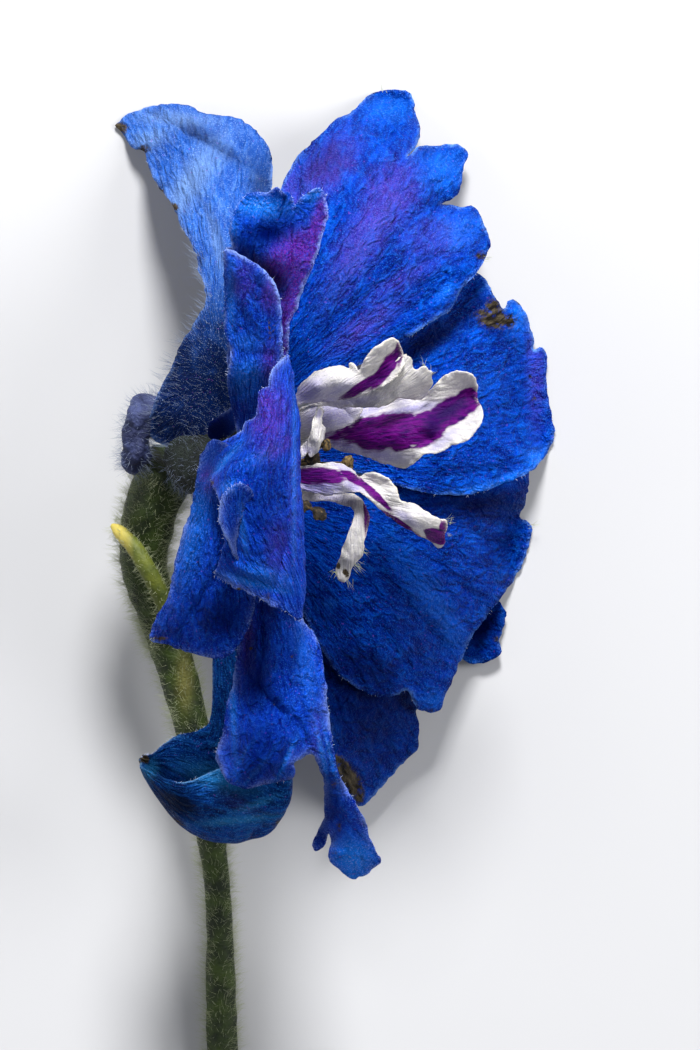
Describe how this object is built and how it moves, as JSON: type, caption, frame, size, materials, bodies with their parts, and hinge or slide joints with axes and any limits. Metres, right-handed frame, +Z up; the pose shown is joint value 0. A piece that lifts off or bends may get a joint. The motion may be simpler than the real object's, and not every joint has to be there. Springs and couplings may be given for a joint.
{
  "type": "single semi-double delphinium flower on its stalk",
  "caption": "Blue semi-double delphinium flower lying on its side: ruffled spreading sepals, white inner petals with purple stripes, crinkled spur and a hairy green stalk.",
  "frame": {"origin": "middle of the flower's box in X and Y, on the surface that it lies on", "axes": "+Z up from the surface, towards the camera of the picture; +Y along the length of the flower and its stalk, towards the upper sepals; +X towards the flower's open side"},
  "size_m": [0.0358, 0.0814, 0.034],
  "materials": {
    "sepal_blue": "saturated cobalt blue petal skin with fine veins and a faint silky sparkle",
    "sepal_pale": "paler sky blue petal skin with fine veins",
    "base_grey": "dull grey-blue, hairy",
    "petal_white": "matte creamy white with purple stripes",
    "stalk_green": "dull green under dense short white hairs",
    "bract_green": "yellow-green, hairy",
    "anther_brown": "matte dark brown with yellow pollen"
  },
  "bodies": {
    "root": {"sepal_upper": "sepal_blue", "sepal_right": "sepal_blue", "sepal_lower_right": "sepal_blue", "sepal_lower": "sepal_blue", "sepal_back": "sepal_blue", "sepal_spurred": "sepal_pale", "sepal_front_upper": "sepal_blue", "sepal_front": "sepal_blue", "sepal_front_lower": "sepal_blue", "sepal_scoop": "sepal_blue", "petal_top": "petal_white", "petal_top_back": "petal_white", "petal_middle": "petal_white", "petal_lower": "petal_white", "petal_hanging": "petal_white", "staminode": "petal_white", "stamens": "anther_brown", "receptacle": "stalk_green", "stalk": "stalk_green", "bracteole": "bract_green", "spur": "base_grey"}
  },
  "joints": []
}
